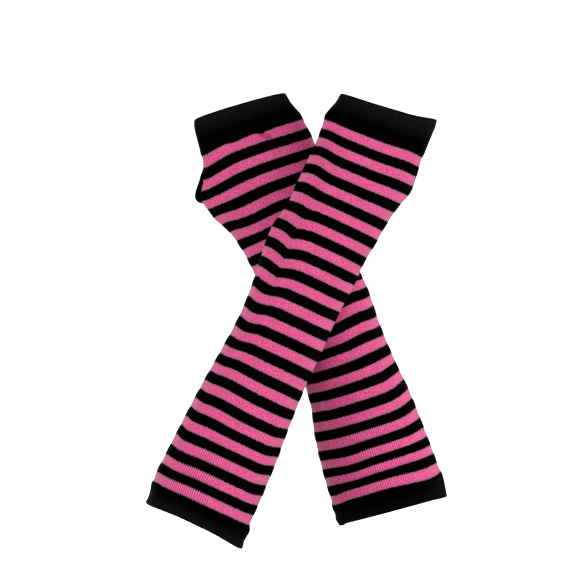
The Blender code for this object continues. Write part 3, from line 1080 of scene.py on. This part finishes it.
striped_knit, uv = start_yarn("plain_knit_acrylic_pink_and_black")
opened, across, bent, loops = knit_relief(striped_knit, uv)
teeth = add(striped_knit, "TexNoise", {"Vector": uv, "Scale": UNEVEN_SCALE, "Detail": 1.0})
wander = {"Value": teeth, "To Min": -UNEVEN_COURSES, "To Max": UNEVEN_COURSES}
uneven_by = add(striped_knit, "MapRange", wander)
uneven = add(striped_knit, "Math", {0: uneven_by, 1: bent}, operation="ADD")
repeat = add(striped_knit, "Math", {0: uneven, 1: 1 / STRIPE_COURSES}, operation="MULTIPLY")
part = add(striped_knit, "Math", {0: repeat}, operation="FRACT")
change = {"Value": part, "From Min": PINK_SHARE - CHANGE_SHARE, "From Max": PINK_SHARE + CHANGE_SHARE}
is_black = add(striped_knit, "MapRange", change)
print(f"{STRIPE_COURSES} courses in a repeat, {PINK_SHARE * STRIPE_COURSES:.1f} of them pink")

# %% Mottle the pink yarn with tone and the painted light and shade of its loops
MOTTLE_SCALE = 1.2  # spots in one wale
MOTTLE_STEPS = (0.34, 0.5, 0.66)  # of the deep pink with painted shade, the common pink, and the pale pink with painted highlight
WALE_CONTRAST = (0.07, 1.1)  # of the painted light on a wale's middle to the painted shade at its edges, closed and fully open

speckle = {"Vector": uv, "Scale": MOTTLE_SCALE, "Detail": 2.0, "Roughness": 0.7}
mottle = add(striped_knit, "TexNoise", speckle)
contrasts = {"Value": opened, "To Min": WALE_CONTRAST[0], "To Max": WALE_CONTRAST[1]}
contrast = add(striped_knit, "MapRange", contrasts)
# Painted light and shade of the loops: bright wale middles, dark wale edges, and a mottle of random tone,
# painted shade and highlight.
lit = add(striped_knit, "Math", {0: across, 1: contrast, 2: mottle}, operation="MULTIPLY_ADD")
pink = add(striped_knit, "ValToRGB", {0: lit})
deep, pale = pink.color_ramp.elements
deep.position, deep.color = MOTTLE_STEPS[0], linear(PINK_DEEP_SHADE)
pale.position, pale.color = MOTTLE_STEPS[2], linear(PINK_PALE_HIGHLIGHT)
pink.color_ramp.elements.new(MOTTLE_STEPS[1]).color = linear(PINK)
print("mottle:", PINK_DEEP_SHADE, PINK, PINK_PALE_HIGHLIGHT)

# %% Dull the stripe's borders and paint shade into its deepest creases
PINK_BORDER = "#AD6E88"  # duller, where the pink loops are drawn through black ones
BORDER_DULLS = 0.8
BORDER_REACH = (0.15, 0.5)  # of a pink stripe, from its middle, where it begins and where it is full

from_middle = add(striped_knit, "Math", {0: part, 1: PINK_SHARE / 2}, operation="SUBTRACT")
distance = add(striped_knit, "Math", {0: from_middle}, operation="ABSOLUTE")
begin, full = (PINK_SHARE * share for share in BORDER_REACH)
at_border = add(
    striped_knit, "MapRange", {"Value": distance, "From Min": begin, "From Max": full, "To Max": BORDER_DULLS}
)
# The borders are duller yarn; the deepest crease troughs get painted shade.
painted_crease_shade = add(striped_knit, "Attribute", attribute_name="painted_crease_shade").outputs["Fac"]
for factor, colour in ((at_border, PINK_BORDER), (painted_crease_shade, PINK_DEEP_SHADE)):
    dulled_and_shaded = {"Factor": factor, "A": pink, "B": linear(colour)}
    pink = add(striped_knit, "Mix", dulled_and_shaded, data_type="RGBA").outputs["Result"]
print(f"borders {BORDER_DULLS:.0%} of", PINK_BORDER)

# %% Fade the patches
PATCH_SCALE = 0.17  # patches of paler and deeper cloth in one wale
PATCH_SATURATION = (1.02, 0.98)
DARK_PATCH, LIGHT_PATCH = 0.93, 1.07

patches = add(striped_knit, "TexNoise", {"Vector": uv, "Scale": PATCH_SCALE, "Detail": 1.0})
patchy = add(striped_knit, "Math", {0: patches, 1: lit}, operation="ADD")
strong, faded = PATCH_SATURATION
fading = {"Value": patchy, "From Min": 0.5, "From Max": 1.5, "To Min": strong, "To Max": faded}
saturation = add(striped_knit, "MapRange", fading)
shade = add(striped_knit, "MapRange", {"Value": patches, "To Min": DARK_PATCH, "To Max": LIGHT_PATCH})
pink = add(striped_knit, "HueSaturation", {"Saturation": saturation, "Value": shade, "Color": pink})
print(f"a patch is about {1 / PATCH_SCALE:.0f} wales wide")

# %% Finish the striped knit
BLACK_WORN = "#070304"
PINK_SHEEN = 0.43  # the hairs of the black yarn catch next to no light

worn_black = {"Factor": mottle, "A": linear(BLACK), "B": linear(BLACK_WORN)}
black = add(striped_knit, "Mix", worn_black, data_type="RGBA").outputs["Result"]
both = {"Factor": is_black, "A": pink, "B": black}
colour = add(striped_knit, "Mix", both, data_type="RGBA").outputs["Result"]
sheen = add(striped_knit, "MapRange", {"Value": is_black, "To Min": PINK_SHEEN, "To Max": 0.0})
surface = {"Base Color": colour, "Roughness": 0.92, "Specular IOR Level": 0.01, "Sheen Weight": sheen}
finish_yarn(striped_knit, loops, surface, strength=0.6)

# %% [markdown]
# ## Black plain knit in acrylic yarn
#
# The hems and bindings are knitted of the same black yarn alone. It is nearly as dark as cloth can be,
# with hardly any gloss. Towards a hem's open edge a painted highlight makes it a soft dark grey.

# %% Black hems and bindings
# The dark grey of the painted highlight on the hems' open edges.
BLACK_HIGHLIGHT = "#1F2020"
HIGHLIGHT_SCALE = 0.6  # spots in one wale

black_knit, uv = start_yarn("plain_knit_acrylic_black_hem")
*_, loops = knit_relief(black_knit, uv)
# Painted highlight: mottled dark grey towards each hem's open edge.
mottle = add(black_knit, "TexNoise", {"Vector": uv, "Scale": HIGHLIGHT_SCALE, "Detail": 3.0})
open_edge = add(black_knit, "Attribute", attribute_name="painted_edge_highlight").outputs["Fac"]
painted_edge_highlight = add(black_knit, "Math", {0: open_edge, 1: mottle}, operation="MULTIPLY")
highlighting = {"Factor": painted_edge_highlight, "A": linear(BLACK), "B": linear(BLACK_HIGHLIGHT)}
black = add(black_knit, "Mix", highlighting, data_type="RGBA").outputs["Result"]
surface = {"Base Color": black, "Roughness": 0.7, "Specular IOR Level": 0.008, "Sheen Weight": 0.003}
finish_yarn(black_knit, loops, surface, strength=0.5)

# %% [markdown]
# ## What each piece is
#
# Every piece rides on the one body, hides the CAD piece that it stands for, and takes its yarn's
# material. The flat sizes of the hems are listed but not handed on.

# %% Hand the pieces over
HAND_HEM_FLAT_ROUND = 150.0
ELBOW_HEM_FLAT_ROUND = 200.0


def hand_over(piece, node, material):
    piece.data.materials.clear()
    piece.data.materials.append(material)
    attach(piece, "root")
    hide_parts(node)


for warmer in PAIR:
    name = warmer.name
    tube, binding = tubes[name], bindings[name]
    hand_over(tube, f"{name}_tube", striped_knit)
    hand_over(binding, f"{name}_thumb_tape", black_knit)
    for end, node, flat_round, deep in (
        ("hand", f"{name}_hand_cuff", HAND_HEM_FLAT_ROUND, HAND_HEM),
        ("elbow", f"{name}_elbow_cuff", ELBOW_HEM_FLAT_ROUND, ELBOW_HEM),
    ):
        hand_over(hems[name, end], node, black_knit)
